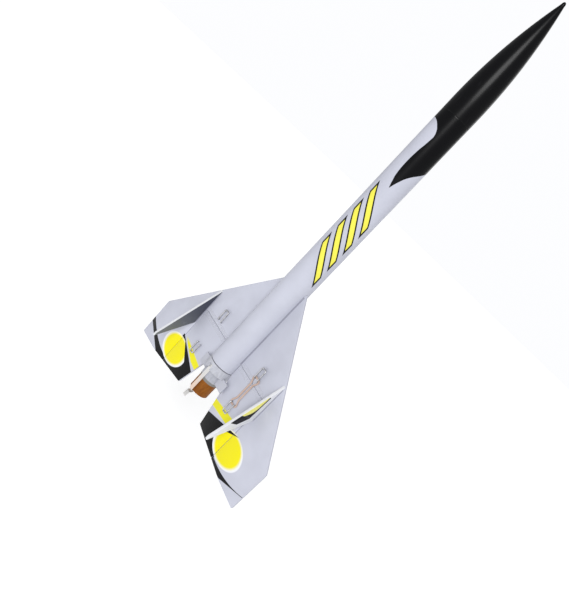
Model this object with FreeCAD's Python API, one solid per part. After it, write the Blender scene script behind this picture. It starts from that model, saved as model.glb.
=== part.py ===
import FreeCAD, Part
import math
import os

# A rocket-glider: a paper body tube with a delta wing, flown nose up under an 18 mm motor.
# The motor rides in a pod that slides out of the tail when the ejection charge fires.
# As the pod leaves, its two side tabs free the elevons, and a rubber band pulls them up to glide.
#
# Frame: the origin is the centre of the motor nozzle's exit, +Z runs along the tube to the nose,
# +X is the right wing, and -Y is the top of the glider, where the fins stand. Millimetres.

# ---- driving dimensions -------------------------------------------------------------------
TUBE_R = 12.4            # outside radius of the body tube
TUBE_WALL = 0.33
TUBE_LENGTH = 256.5
RIM = 31.5               # height of the tube's aft rim above the nozzle exit
NOSE_LENGTH = 102.6
SHOULDER_LENGTH = 20.0

SHEET = 2.4              # balsa sheet of the wings and fins
WING_TOP = 0.4           # Y of the wings' upper face
HINGE_Z = RIM + 12.6
HINGE_GAP = 0.3
ELEVON_IN = 13.2         # inner edge beside the tube
ELEVON_OUT = 54.2        # outer edge beside the fin
SLIT = 0.6               # cut between the elevon and the fixed outer panel

FIN_X = 56.8
FIN_HEIGHT = 26.2

HOOK_X = 34.4
HOOK_HALF = 2.3          # half the spacing of a band hook's two legs
WIRE_R = 0.65
BAND_WIDTH = 1.2
BAND_DEPTH = 1.0

CASING_R = 8.75          # 18 mm class motor, 70 mm long
CASING_BORE_R = 6.5
CASING_LENGTH = 70.0
ENGINE_TUBE_R = 9.35
ENGINE_TUBE_WALL = 0.42
ENGINE_TUBE_AFT = RIM - 15.9
ENGINE_TUBE_LENGTH = 75.0
SLIDE_GAP = 0.07         # running gap between the pod's rings and the tube
COLLAR_LENGTH = 7.4
BUTT_GAP = 0.3           # gap between the collar and the tube's rim

TAB_TOP = -2.6           # Y of the hold-down tabs' upper face
TAB_THICK = 1.6
TAB_REACH = 19.5
TAB_AFT = RIM - 15.0
TAB_FRONT = RIM - 5.6

CLIP_WIDTH = 4.0         # steel strip that holds the motor in
CLIP_THICK = 0.5

# ---- worked-out places --------------------------------------------------------------------
TUBE_BORE_R = TUBE_R - TUBE_WALL
TUBE_FRONT = RIM + TUBE_LENGTH
RING_R = TUBE_BORE_R - SLIDE_GAP
COLLAR_FRONT = RIM - BUTT_GAP
COLLAR_AFT = COLLAR_FRONT - COLLAR_LENGTH
ENGINE_TUBE_FRONT = ENGINE_TUBE_AFT + ENGINE_TUBE_LENGTH

UP = FreeCAD.Vector(0, 0, 1)
RIGHT = FreeCAD.Vector(1, 0, 0)
DOWN_SIDE = FreeCAD.Vector(0, 1, 0)
SIDES = {"left": -1, "right": 1}


# ---- shape helpers ------------------------------------------------------------------------
def at(x, y, z):
    return FreeCAD.Vector(x, y, z)


def rod(radius, low, high):
    """A round bar on the tube's axis between two heights."""
    return Part.makeCylinder(radius, high - low, at(0, 0, low))


def pipe(outer, inner, low, high):
    return rod(outer, low, high).cut(rod(inner, low - 1, high + 1))


def block(x0, x1, y0, y1, z0, z1):
    return Part.makeBox(x1 - x0, y1 - y0, z1 - z0, at(x0, y0, z0))


def plate(corners, thickness_vector):
    """A flat sheet: a closed outline pushed through its thickness."""
    outline = Part.makePolygon(corners + [corners[0]])
    return Part.Face(outline).extrude(thickness_vector)


def turned(edges):
    """The solid that a half-section in the XZ plane sweeps out about the tube's axis."""
    return Part.Face(Part.Wire(edges)).revolve(at(0, 0, 0), UP, 360)


def mirrored(shape, side):
    """A right-hand piece, or its mirror image for the left wing."""
    return shape if side > 0 else shape.mirror(at(0, 0, 0), RIGHT)


def bent_wire(points, radius, bend):
    """Round wire through the points, each corner eased by a tangent arc."""
    edges = []
    start = points[0]
    for before, corner, after in zip(points, points[1:], points[2:]):
        into = (corner - before).normalize()
        out = (after - corner).normalize()
        turn = into.getAngle(out)
        setback = bend * math.tan(turn / 2)
        first = corner - into * setback
        last = corner + out * setback
        to_centre = (out - into).normalize()
        middle = corner + to_centre * (bend / math.cos(turn / 2) - bend)
        edges.append(Part.LineSegment(start, first).toShape())
        edges.append(Part.Arc(first, middle, last).toShape())
        start = last
    edges.append(Part.LineSegment(start, points[-1]).toShape())
    profile = Part.Wire(Part.makeCircle(radius, points[0], points[1] - points[0]))
    return Part.Wire(edges).makePipeShell([profile], True, False)


def folded_strip(points, thickness, width):
    """Flat strip across X, folded along points in the YZ plane, thickness laid to their right."""
    inner = []
    for i, point in enumerate(points):
        before = points[max(i - 1, 0)]
        after = points[min(i + 1, len(points) - 1)]
        first = (point - before) if i else (after - point)
        second = (after - point) if i < len(points) - 1 else first
        normals = [run.normalize().cross(RIGHT) for run in (first, second)]
        bisector = (normals[0] + normals[1]).normalize()
        inner.append(point + bisector * (thickness / bisector.dot(normals[0])))
    section = points + inner[::-1]
    return plate([p - RIGHT * (width / 2) for p in section], RIGHT * width)


parts = {}

# ---- airframe: tube, nose cone and its ballast --------------------------------------------
parts["body_tube"] = pipe(TUBE_R, TUBE_BORE_R, RIM, TUBE_FRONT)

OGIVE_STRAIGHT = 10.0    # parallel length behind the curve of the nose cone
OGIVE_LENGTH = 96.0      # length the curve would have if it came to a sharp point
TIP_R = 1.5              # radius where the sharp point is rounded off
OGIVE_STEPS = 8
CONE_WALL = 1.1
SHOULDER_R = TUBE_BORE_R - 0.02


def ogive_edge(base_r, base_z, sharp_length, tip_z):
    """The curve of the cone: a tangent ogive that runs smoothly into a small round tip."""
    curve_r = (base_r ** 2 + sharp_length ** 2) / (2 * base_r)
    drops = [(base_r - TIP_R) * (i / OGIVE_STEPS) ** 2 for i in range(OGIVE_STEPS + 1)]
    points = [at(base_r - d, 0, base_z + math.sqrt(2 * curve_r * d - d * d)) for d in drops]
    points.append(at(0, 0, tip_z))
    curve = Part.BSplineCurve()
    curve.interpolate(Points=points, InitialTangent=UP, FinalTangent=at(-1, 0, 0))
    return curve.toShape()


def run_of(*points):
    return [Part.LineSegment(a, b).toShape() for a, b in zip(points, points[1:])]


def cone_body(base_r, base_z, sharp_length, tip_z, foot_z):
    outline = run_of(at(0, 0, tip_z), at(0, 0, foot_z), at(base_r, 0, foot_z), at(base_r, 0, base_z))
    return turned(outline + [ogive_edge(base_r, base_z, sharp_length, tip_z)])


NOSE_TIP = TUBE_FRONT + NOSE_LENGTH
CURVE_BASE = TUBE_FRONT + OGIVE_STRAIGHT
TIP_SOLID = 9.0          # solid plastic at the tip
HOLLOW_TIP = NOSE_TIP - TIP_SOLID
HOLLOW_R = TUBE_R - CONE_WALL
HOLLOW_SHORTER = 8.0     # the hollow's curve is this much shorter than the outside's
SHOULDER_WALL = 1.0
VENT_R = 5.0             # hole in the cone's base, where the ballast was pushed in
BALLAST_LENGTH = 31.0
BALLAST_BASE = HOLLOW_TIP - BALLAST_LENGTH

hollow = cone_body(HOLLOW_R, CURVE_BASE, OGIVE_LENGTH - HOLLOW_SHORTER, HOLLOW_TIP, TUBE_FRONT)
shoulder_foot = TUBE_FRONT - SHOULDER_LENGTH
shoulder_hollow = rod(SHOULDER_R - SHOULDER_WALL, shoulder_foot + SHOULDER_WALL, TUBE_FRONT + 0.1)
cone = cone_body(TUBE_R, CURVE_BASE, OGIVE_LENGTH, NOSE_TIP, TUBE_FRONT)
cone = cone.fuse(rod(SHOULDER_R, shoulder_foot, TUBE_FRONT + 0.1))
cone = cone.cut(hollow).cut(shoulder_hollow).cut(rod(VENT_R, shoulder_foot - 1, TUBE_FRONT))
parts["nose_cone"] = cone.removeSplitter()
parts["nose_weight"] = hollow.common(rod(TUBE_R, BALLAST_BASE, NOSE_TIP))

# ---- launch lug, glued along the underside ------------------------------------------------
LUG_BORE_R = 2.0
LUG_R = 2.35
LUG_LENGTH = 50.0
LUG_FOOT = RIM + 62.0
LUG_Y = TUBE_R + LUG_R
GLUE_HALF = 1.3          # half the width of the glue line between lug and tube

lug_place = at(0, LUG_Y, LUG_FOOT)
lug = Part.makeCylinder(LUG_R, LUG_LENGTH, lug_place)
lug = lug.fuse(block(-GLUE_HALF, GLUE_HALF, TUBE_R - 0.5, LUG_Y, LUG_FOOT, LUG_FOOT + LUG_LENGTH))
lug = lug.cut(Part.makeCylinder(LUG_BORE_R, LUG_LENGTH + 2, lug_place - UP))
parts["launch_lug"] = lug.cut(rod(TUBE_R, RIM, TUBE_FRONT)).removeSplitter()

# ---- wings, elevons, fins -----------------------------------------------------------------
# Planform of the right wing, as X and the height above the tube's rim.
ROOT_FRONT = (TUBE_R, RIM + 90.0)
TIP_FRONT = (98.4, RIM - 15.5)
TIP_AFT = (97.8, RIM - 54.1)
KINK = (72.6, RIM - 53.0)
INNER_AFT = (24.2, RIM - 45.4)
ELEVON_STEP = RIM + 0.5  # where the elevon's inner edge leaves the tube and slopes outward


def trailing_z(x):
    """Height of the straight trailing edge between the elevon's inner corner and the kink."""
    share = (x - INNER_AFT[0]) / (KINK[0] - INNER_AFT[0])
    return INNER_AFT[1] + share * (KINK[1] - INNER_AFT[1])


def sheet_on_wing(outline, top=WING_TOP, thickness=SHEET):
    return plate([at(x, top, z) for x, z in outline], DOWN_SIDE * thickness)


PANEL_IN = ELEVON_OUT + SLIT
PANEL_AFT = HINGE_Z + HINGE_GAP / 2
TRIM = 2.0               # the panel starts this far inside the tube and is cut to fit it
sweep = (ROOT_FRONT[1] - TIP_FRONT[1]) / (TIP_FRONT[0] - TUBE_R)
panel = sheet_on_wing([
    (TUBE_R - TRIM, ROOT_FRONT[1] + TRIM * sweep),
    TIP_FRONT,
    TIP_AFT,
    KINK,
    (PANEL_IN, trailing_z(PANEL_IN)),
    (PANEL_IN, PANEL_AFT),
    (TUBE_R - TRIM, PANEL_AFT),
]).cut(rod(TUBE_R, RIM, TUBE_FRONT))
elevon = sheet_on_wing([
    (ELEVON_IN, HINGE_Z - HINGE_GAP / 2),
    (ELEVON_OUT, HINGE_Z - HINGE_GAP / 2),
    (ELEVON_OUT, trailing_z(ELEVON_OUT)),
    INNER_AFT,
    (ELEVON_IN, ELEVON_STEP),
])

FIN_ROOT_FRONT = RIM + 34.3
FIN_ROOT_AFT = RIM - 3.8
FIN_TIP_FRONT = RIM - 27.2
FIN_TIP_AFT = RIM - 30.4
fin_top = WING_TOP - FIN_HEIGHT
fin_side = FIN_X - SHEET / 2
fin = plate([
    at(fin_side, WING_TOP, FIN_ROOT_FRONT),
    at(fin_side, fin_top, FIN_TIP_FRONT),
    at(fin_side, fin_top, FIN_TIP_AFT),
    at(fin_side, WING_TOP, FIN_ROOT_AFT),
], RIGHT * SHEET)

# ---- band hooks: a staple of wire whose bow points away from the band ----------------------
HOOK_LIFT = 1.9          # height of the wire's centre above the wing
HOOK_BEND = 0.9
FRONT_HOOK_LEG = RIM + 17.6
FRONT_HOOK_BOW = RIM + 28.6
AFT_HOOK_LEG = RIM - 9.6
AFT_HOOK_BOW = RIM - 19.6


def band_hook(leg_z, bow_z):
    """Two legs down through the sheet at leg_z, joined by a raised bow that reaches to bow_z."""
    top = WING_TOP - HOOK_LIFT
    left = HOOK_X - HOOK_HALF
    right = HOOK_X + HOOK_HALF
    return bent_wire([
        at(left, WING_TOP, leg_z),
        at(left, top, leg_z),
        at(left, top, bow_z),
        at(right, top, bow_z),
        at(right, top, leg_z),
        at(right, WING_TOP, leg_z),
    ], WIRE_R, HOOK_BEND)


front_hook = band_hook(FRONT_HOOK_LEG, FRONT_HOOK_BOW)
elevon_hook = band_hook(AFT_HOOK_LEG, AFT_HOOK_BOW)

# ---- tape hinges: a thin strip laid over the joint of wing and elevon -----------------------
TAPE_THICK = 0.08
TAPE_HALF = 4.0
TAPE_MARGIN = 1.0        # bare sheet left at each end of the strip
tape = block(
    ELEVON_IN + TAPE_MARGIN, ELEVON_OUT - TAPE_MARGIN,
    WING_TOP - TAPE_THICK, WING_TOP,
    HINGE_Z - TAPE_HALF, HINGE_Z + TAPE_HALF,
)

for name, side in SIDES.items():
    parts["wing_" + name] = mirrored(panel, side)
    parts["elevon_" + name] = mirrored(elevon, side)
    parts["fin_" + name] = mirrored(fin, side)
    parts["front_hook_" + name] = mirrored(front_hook, side)
    parts["elevon_hook_" + name] = mirrored(elevon_hook, side)
    parts["hinge_tape_" + name] = mirrored(tape, side)

# ---- rubber band, stretched round the legs of the right-hand hooks --------------------------
BAND_CLEAR = 0.08
BAND_LIFT = 0.1          # air between the band and the wing
band_in = HOOK_HALF + WIRE_R + BAND_CLEAR
band_low = AFT_HOOK_LEG
band_high = FRONT_HOOK_LEG


def racetrack(half_width):
    """A loop round both hooks' legs, rounded at each end, as a solid as deep as the band."""
    base_y = WING_TOP - BAND_LIFT - BAND_DEPTH
    reach = WIRE_R + BAND_CLEAR + half_width - band_in
    low = band_low - reach
    high = band_high + reach
    slab = block(HOOK_X - half_width, HOOK_X + half_width, base_y, base_y + BAND_DEPTH, low, high)
    upright = [e for e in slab.Edges if abs(e.tangentAt(e.FirstParameter).y) > 0.9]
    return slab.makeFillet(reach, upright)


parts["rubber_band"] = racetrack(band_in + BAND_WIDTH).cut(racetrack(band_in))

# ---- motor pod: engine tube, rings, collar, hold-down tabs ----------------------------------
CLIP_BASE = -ENGINE_TUBE_R            # Y of the clip's inner face
CLIP_SLOT = CLIP_WIDTH + 0.8          # width of the notches that the clip passes through
CLIP_ROOM = CLIP_THICK + 0.25         # depth of a notch under a ring


def clip_slot(low, high, depth=CLIP_ROOM):
    """The notch that lets the steel clip pass under a ring."""
    return block(-CLIP_SLOT / 2, CLIP_SLOT / 2, CLIP_BASE - depth, -ENGINE_TUBE_R + 1, low, high)


RING_LENGTH = 5.0
FRONT_RING_SETBACK = 8.0              # from the engine tube's front end to the ring's foot
REAR_RING_LEAD = 0.4                  # from the tube's rim to the rear ring's foot
FRONT_RING_FOOT = ENGINE_TUBE_FRONT - FRONT_RING_SETBACK
REAR_RING_FOOT = RIM + REAR_RING_LEAD
NOTCH_FRONT = RIM - 2.9               # front end of the collar's open notch
ring_bands = {"rear_ring": REAR_RING_FOOT, "front_ring": FRONT_RING_FOOT}
ANCHOR_Z = CASING_LENGTH + 0.15       # the clip's front leg goes in at the casing's front end
ANCHOR_SLACK = 0.2                    # room round the leg in the engine tube's slit
THRUST_RING_FOOT = ANCHOR_Z + CLIP_THICK + 0.1

engine_tube = pipe(ENGINE_TUBE_R, ENGINE_TUBE_R - ENGINE_TUBE_WALL, ENGINE_TUBE_AFT, ENGINE_TUBE_FRONT)
anchor_low = ANCHOR_Z - ANCHOR_SLACK
anchor_high = ANCHOR_Z + CLIP_THICK + ANCHOR_SLACK
anchor_hole = block(-CLIP_SLOT / 2, CLIP_SLOT / 2, -TUBE_R, -CASING_BORE_R, anchor_low, anchor_high)
parts["engine_tube"] = engine_tube.cut(anchor_hole)
for ring, foot in ring_bands.items():
    head = foot + RING_LENGTH
    parts[ring] = pipe(RING_R, ENGINE_TUBE_R, foot, head).cut(clip_slot(foot - 1, head + 1))

collar = pipe(TUBE_R, ENGINE_TUBE_R, COLLAR_AFT, COLLAR_FRONT)
collar = collar.cut(clip_slot(COLLAR_AFT - 1, COLLAR_FRONT + 1))
parts["pod_collar"] = collar.cut(clip_slot(COLLAR_AFT - 1, NOTCH_FRONT, TUBE_R))

tab = block(ENGINE_TUBE_R / 2, TAB_REACH, TAB_TOP, TAB_TOP + TAB_THICK, TAB_AFT, TAB_FRONT)
tab = tab.cut(rod(ENGINE_TUBE_R, 0, RIM)).cut(rod(TUBE_R, COLLAR_AFT, RIM))
for name, side in SIDES.items():
    parts["hold_down_tab_" + name] = mirrored(tab, side)

# ---- motor clip: spring-steel strip along the top of the pod --------------------------------
LEG_DEPTH = 1.9          # how far the front leg goes in through the engine tube
HOOK_DEPTH = 3.2         # how far the clip's hook reaches in behind the casing
CLIP_LIP = -0.4          # height of the hook's bearing face, just behind the casing
FOLD = 1.3               # length of the hook's folded end
KNEE_DROP = 0.9          # how far below the fold the strip comes back out
KNEE_OUT = 0.2
FINGER_END = -8.0
FINGER_FLARE = 0.9
BEND_Z = NOTCH_FRONT     # the free end bends where it leaves the collar
BEND_GAP = 0.1           # the strip is cut here so that its free end can turn
clip_anchor = [
    at(0, CLIP_BASE + LEG_DEPTH, ANCHOR_Z),
    at(0, CLIP_BASE, ANCHOR_Z),
    at(0, CLIP_BASE, BEND_Z + BEND_GAP / 2),
]
clip_finger = [
    at(0, CLIP_BASE, BEND_Z - BEND_GAP / 2),
    at(0, CLIP_BASE, CLIP_LIP),
    at(0, CLIP_BASE + HOOK_DEPTH, CLIP_LIP),
    at(0, CLIP_BASE + HOOK_DEPTH, CLIP_LIP - FOLD),
    at(0, CLIP_BASE - KNEE_OUT, CLIP_LIP - FOLD - KNEE_DROP),
    at(0, CLIP_BASE - FINGER_FLARE, FINGER_END),
]
parts["motor_clip"] = folded_strip(clip_anchor, CLIP_THICK, CLIP_WIDTH)
parts["motor_clip_finger"] = folded_strip(clip_finger, CLIP_THICK, CLIP_WIDTH)

# ---- the motor: paper casing, clay nozzle, grains and cap -----------------------------------
THROAT_R = 1.6           # the igniter's way in
THROAT_LENGTH = 6.0
NOZZLE_LENGTH = 9.0
GRAIN_TOP = 33.0
DELAY_TOP = 51.0
CHARGE_TOP = 59.0
CAP_TOP = 62.0
NOZZLE_INLET_R = 4.0
PORT_DEPTH = 6.0

parts["motor_casing"] = pipe(CASING_R, CASING_BORE_R, 0, CASING_LENGTH)
inlet = Part.makeCone(THROAT_R, NOZZLE_INLET_R, NOZZLE_LENGTH - THROAT_LENGTH, at(0, 0, THROAT_LENGTH))
nozzle = rod(CASING_BORE_R, 0, NOZZLE_LENGTH).cut(rod(THROAT_R, -1, THROAT_LENGTH + 0.5)).cut(inlet)
parts["motor_nozzle"] = nozzle.removeSplitter()
port = rod(THROAT_R, NOZZLE_LENGTH - 1, NOZZLE_LENGTH + PORT_DEPTH)
parts["propellant_grain"] = rod(CASING_BORE_R, NOZZLE_LENGTH, GRAIN_TOP).cut(port)
parts["delay_charge"] = rod(CASING_BORE_R, GRAIN_TOP, DELAY_TOP)
parts["ejection_charge"] = rod(CASING_BORE_R, DELAY_TOP, CHARGE_TOP)
parts["motor_cap"] = rod(CASING_BORE_R, CHARGE_TOP, CAP_TOP)
TAPE_BAND_R = CASING_R + 0.3
TAPE_BAND_LENGTH = 2.6
parts["motor_tape"] = pipe(TAPE_BAND_R, CASING_R, ENGINE_TUBE_AFT - TAPE_BAND_LENGTH, ENGINE_TUBE_AFT)
THRUST_RING_BORE_R = 6.5
THRUST_RING_LENGTH = 6.0
THRUST_RING_R = ENGINE_TUBE_R - ENGINE_TUBE_WALL
thrust_ring_top = THRUST_RING_FOOT + THRUST_RING_LENGTH
parts["thrust_ring"] = pipe(THRUST_RING_R, THRUST_RING_BORE_R, THRUST_RING_FOOT, thrust_ring_top)

# ---- recovery streamer, rolled up ahead of the pod ------------------------------------------
STREAMER_R = 10.5
STREAMER_LENGTH = 45.0
STREAMER_CORE_R = 1.5
parts["streamer_roll"] = pipe(
    STREAMER_R, STREAMER_CORE_R, ENGINE_TUBE_FRONT, ENGINE_TUBE_FRONT + STREAMER_LENGTH)

os.makedirs("parts", exist_ok=True)
for name, shape in parts.items():
    solid = shape.Solids[0]
    assert shape.isValid() and len(shape.Solids) == 1, name
    print(name, round(solid.Volume, 2))
    solid.exportStep("parts/" + name + ".step")
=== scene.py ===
import math

import bmesh
import bpy
from mathutils import Matrix, Vector


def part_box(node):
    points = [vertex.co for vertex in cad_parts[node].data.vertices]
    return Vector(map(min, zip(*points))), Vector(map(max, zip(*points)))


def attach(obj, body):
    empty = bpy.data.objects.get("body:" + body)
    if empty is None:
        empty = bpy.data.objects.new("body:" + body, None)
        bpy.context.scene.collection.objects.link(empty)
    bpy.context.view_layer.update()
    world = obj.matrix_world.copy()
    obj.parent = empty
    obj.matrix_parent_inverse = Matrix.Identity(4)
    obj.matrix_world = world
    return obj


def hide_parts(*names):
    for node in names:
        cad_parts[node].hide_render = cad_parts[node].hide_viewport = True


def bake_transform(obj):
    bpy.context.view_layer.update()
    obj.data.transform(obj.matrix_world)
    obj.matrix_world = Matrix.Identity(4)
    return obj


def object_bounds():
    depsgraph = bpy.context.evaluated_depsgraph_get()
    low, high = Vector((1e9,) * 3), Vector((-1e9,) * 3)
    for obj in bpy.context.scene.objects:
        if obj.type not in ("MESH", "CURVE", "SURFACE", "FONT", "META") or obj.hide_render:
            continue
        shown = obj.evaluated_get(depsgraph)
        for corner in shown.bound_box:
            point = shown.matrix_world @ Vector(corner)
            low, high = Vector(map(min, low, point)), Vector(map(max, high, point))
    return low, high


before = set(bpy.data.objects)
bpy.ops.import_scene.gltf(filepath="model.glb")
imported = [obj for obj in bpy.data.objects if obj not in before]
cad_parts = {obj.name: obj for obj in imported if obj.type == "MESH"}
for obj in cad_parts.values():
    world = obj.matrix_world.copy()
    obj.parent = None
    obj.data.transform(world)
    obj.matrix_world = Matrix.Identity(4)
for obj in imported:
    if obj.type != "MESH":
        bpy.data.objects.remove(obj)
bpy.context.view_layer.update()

# ---------------------------------------------------------------- camera
# The glider is seen from above its right wing and a little ahead of the tail, nose tipped up to
# the right, from half a metre away.
MM = 0.001
camera = bpy.data.objects.new("camera", bpy.data.cameras.new("camera"))
bpy.context.scene.collection.objects.link(camera)
bpy.context.scene.camera = camera
camera.data.sensor_width = 36.0
camera.data.lens = 36.07
camera.data.clip_start = 0.01
line_of_sight = Vector((-0.6101, 0.7602, -0.2234))
camera_right = Vector((0.4704, 0.5744, 0.6699))
camera_up = camera_right.cross(line_of_sight).normalized()
camera.matrix_world = Matrix((camera_right, camera_up, -line_of_sight)).transposed().to_4x4()
camera.location = (0.2883, -0.3590, 0.2108)

# ---------------------------------------------------------------- body tube
# Spiral-wound paper tube, sealed and sprayed pale grey-white, with a long black flash that runs
# back from the nose and slanted yellow bars ahead of the wings. Both are thin stuck-on films.
tube_low, tube_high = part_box("body_tube")
TUBE_R = tube_high.x
RIM = tube_low.z
TUBE_TOP = tube_high.z
PAPER = 0.33 * MM

PALE = (0.523, 0.536, 0.617, 1)
BLACK = (0.0032, 0.0033, 0.0040, 1)
YELLOW = (0.80, 0.72, 0.006, 1)


class Value:
    """A shader socket that can be used in a formula: arithmetic on it adds Math nodes."""

    def __init__(self, socket):
        self.socket = socket

    def math(self, operation, *others):
        made = self.socket.id_data.nodes.new("ShaderNodeMath")
        made.operation = operation
        for slot, value in zip(made.inputs, (self, *others)):
            plug(slot, value)
        return Value(made.outputs[0])

    def __add__(self, other):
        return self.math("ADD", other)

    def __sub__(self, other):
        return self.math("SUBTRACT", other)

    def __rsub__(self, other):
        return (self * -1) + other

    def __mul__(self, other):
        return self.math("MULTIPLY", other)

    def __truediv__(self, other):
        return self.math("DIVIDE", other)

    __radd__ = __add__
    __rmul__ = __mul__

    def __lt__(self, other):
        return self.math("LESS_THAN", other)

    def __gt__(self, other):
        return self.math("GREATER_THAN", other)

    def min(self, other):
        return self.math("MINIMUM", other)

    def max(self, other):
        return self.math("MAXIMUM", other)


def plug(slot, value):
    """Sets a socket to a plain value, or links it."""
    if isinstance(value, Value):
        slot.id_data.links.new(value.socket, slot)
    else:
        slot.default_value = value


class Finish:
    """A material built on one Principled shader, in the piece's own coordinates."""

    def __init__(self, name, settings=()):
        self.material = bpy.data.materials.new(name)
        self.material.use_nodes = True
        self.tree = self.material.node_tree
        self.shader = self.tree.nodes["Principled BSDF"]
        for socket, value in dict(settings).items():
            plug(self.shader.inputs[socket], value)
        self.place = self.add("TexCoord", out="Object")
        split = self.add("SeparateXYZ", inputs={0: self.place}).socket.node
        self.x, self.y, self.z = (Value(axis) / MM for axis in split.outputs)

    def add(self, kind, settings=(), inputs=(), out=0):
        """One node of any kind: its settings first, then its sockets' values or links."""
        made = self.tree.nodes.new("ShaderNode" + kind)
        for key, value in dict(settings).items():
            if key == "points":
                drawn = made.mapping.curves[0].points
                for place in value[1:-1]:
                    drawn.new(*place)
                drawn[0].location = value[0]
                drawn[len(value) - 1].location = value[-1]
                made.mapping.update()
            else:
                setattr(made, key, value)
        for key, value in dict(inputs).items():
            plug(made.inputs[key], value)
        return Value(made.outputs[out])

    def set(self, socket, value):
        plug(self.shader.inputs[socket], value)

    def noise(self, scale, detail=2.0, stretch=(1, 1, 1), roughness=0.5):
        """Cloudy noise, scale in cells per metre, stretched along the piece's axes."""
        where = self.add("Mapping", inputs={"Vector": self.place, "Scale": stretch})
        return self.add("TexNoise", inputs={
            "Vector": where, "Scale": scale, "Detail": detail, "Roughness": roughness})

    def blend(self, share, first, second):
        """Colour that goes from first to second with share."""
        return self.add("Mix", {"data_type": "RGBA"}, {0: share, 6: first, 7: second}, out=2)

    def ramp(self, value, low, high, first=0.0, last=1.0):
        """Smooth step of a value between low and high."""
        return self.add("MapRange", {"interpolation_type": "SMOOTHSTEP"}, {
            "Value": value, "From Min": low, "From Max": high, "To Min": first, "To Max": last})

    def curve(self, value, points):
        """The result read off a smooth curve through (value, result) points."""
        lows = [min(p[i] for p in points) for i in (0, 1)]
        spans = [max(p[i] for p in points) - lows[i] for i in (0, 1)]
        scaled = [tuple((p[i] - lows[i]) / spans[i] for i in (0, 1)) for p in points]
        read = self.add("FloatCurve", {"points": scaled}, {"Value": (value - lows[0]) / spans[0]})
        return read * spans[1] + lows[1]

    def bump(self, height, distance, strength=1.0):
        made = self.add("Bump", inputs={"Height": height, "Distance": distance, "Strength": strength})
        self.set("Normal", made)


def sprayed(name, films=None, grain=None, base=PALE):
    """Satin spray paint with fine orange peel; films lays stuck-on colours over it."""
    paint = Finish(name, {"Specular IOR Level": 0.14})
    cloud = paint.noise(45, 3)
    speck = paint.noise(900, 2)
    misted = tuple(0.93 * c for c in base[:3]) + (1,)
    colour = paint.blend(paint.ramp(cloud, 0.3, 0.7), misted, base)
    roughness = 0.30 + 0.12 * cloud
    height = speck * 0.3 + cloud * 0.7
    if grain:
        height = height + paint.noise(260, 3, stretch=grain) * 1.6
    for share, film_colour in films(paint) if films else ():
        colour = paint.blend(share, colour, film_colour)
        roughness = roughness + share * -0.10
        height = height + share * 1.5
    paint.set("Base Color", colour)
    paint.set("Roughness", roughness)
    paint.bump(height, 0.05 * MM, 0.5)
    return paint.material


def inside(paint, distance, soft=0.12):
    """1 where a signed distance in millimetres is negative, with a thin soft edge."""
    return paint.ramp(distance, soft, -soft)


FLASH_TIP = (35.0, 190.0)
FLASH_RIGHT_EDGE = [FLASH_TIP, (45, 197), (60, 204), (90, 211), (125, 216), (180, 222)]
FLASH_LEFT_EDGE = [(190, 35), (196, 26), (203, 19), (211, 17), (221, 19), (230, 24.5), (237, 27.5)]
LOBE_TURN = 27.5
LOBE_OVERLAP = 1.5
LOBE_EDGE = [(-180, 222), (-130, 235), (-90, 243), (-45, 248), (-15, 247), (12, 243), (22, 240)]
LOBE_EDGE.append((LOBE_TURN, 236))
DEGREE = math.pi / 180 * TUBE_R / MM
BARS = 4
BAR_PITCH = 17.0
BAR_LEAN = 1.55
FIRST_BAR = 122.0
BAR_MIDDLE = 8.0
RIM_PAINTED_SHADE = 0.45


def tube_films(paint):
    """The black flash, the yellow bars and a dark band of painted shade at the rim, drawn on the unrolled
    tube as (degrees, millimetres).
    """
    turn = paint.x.math("ARCTAN2", paint.y * -1) * (180 / math.pi)
    height = paint.z - RIM / MM
    left_of_tip = turn < FLASH_TIP[0]
    right = inside(paint, paint.curve(turn, FLASH_RIGHT_EDGE) - height) * (1 - left_of_tip)
    left_edge = paint.curve(height.min(FLASH_LEFT_EDGE[-1][0]), FLASH_LEFT_EDGE)
    left = inside(paint, (left_edge - turn) * DEGREE) * (height > FLASH_TIP[1]) * left_of_tip
    lobe = inside(paint, paint.curve(turn, LOBE_EDGE) - height) * (turn < LOBE_TURN + LOBE_OVERLAP)
    flash = right.max(left).max(lobe)

    arc = turn * DEGREE
    along = height + arc * BAR_LEAN - FIRST_BAR
    half_row = BAR_PITCH * BARS / 2
    in_row = inside(paint, (along - half_row).math("ABSOLUTE") - half_row)
    from_bar = ((along / BAR_PITCH).math("FRACT") - 0.5).math("ABSOLUTE")
    across = from_bar * (BAR_PITCH / math.hypot(1, BAR_LEAN))
    lengthwise = (arc - BAR_MIDDLE).math("ABSOLUTE")

    def slanted(half_width, half_length):
        return inside(paint, across - half_width) * inside(paint, lengthwise - half_length) * in_row

    return [
        (flash, BLACK),
        (slanted(2.9, 10.2), BLACK),
        (slanted(1.8, 8.8), (0.80, 0.75, 0.09, 1)),
        # A narrow dark grey band along the rim is painted shade.
        (inside(paint, height - RIM_PAINTED_SHADE), (0.10, 0.10, 0.12, 1)),
    ]


def piece_of(bm, name, material, smooth_angle=32):
    """Turns a bmesh into an object: one material, shaded smooth but crisp past the given angle."""
    mesh = bpy.data.meshes.new(name)
    bm.to_mesh(mesh)
    bm.free()
    mesh.materials.append(material)
    mesh.shade_smooth()
    mesh.set_sharp_from_angle(angle=math.radians(smooth_angle))
    piece = bpy.data.objects.new(name, mesh)
    bpy.context.scene.collection.objects.link(piece)
    return piece


def turned(section, steps=128):
    """A bmesh that a closed section of (radius, height) points sweeps out about the tube's axis."""
    bm = bmesh.new()
    corners = [bm.verts.new((r, 0, z)) for r, z in section]
    edges = [bm.edges.new(pair) for pair in zip(corners, corners[1:] + corners[:1])]
    bmesh.ops.spin(bm, geom=corners + edges, axis=(0, 0, 1), cent=(0, 0, 0),
                   angle=2 * math.pi, steps=steps, use_merge=True)
    bmesh.ops.remove_doubles(bm, verts=bm.verts, dist=1e-6)
    bmesh.ops.recalc_face_normals(bm, faces=bm.faces)
    return bm


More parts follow.
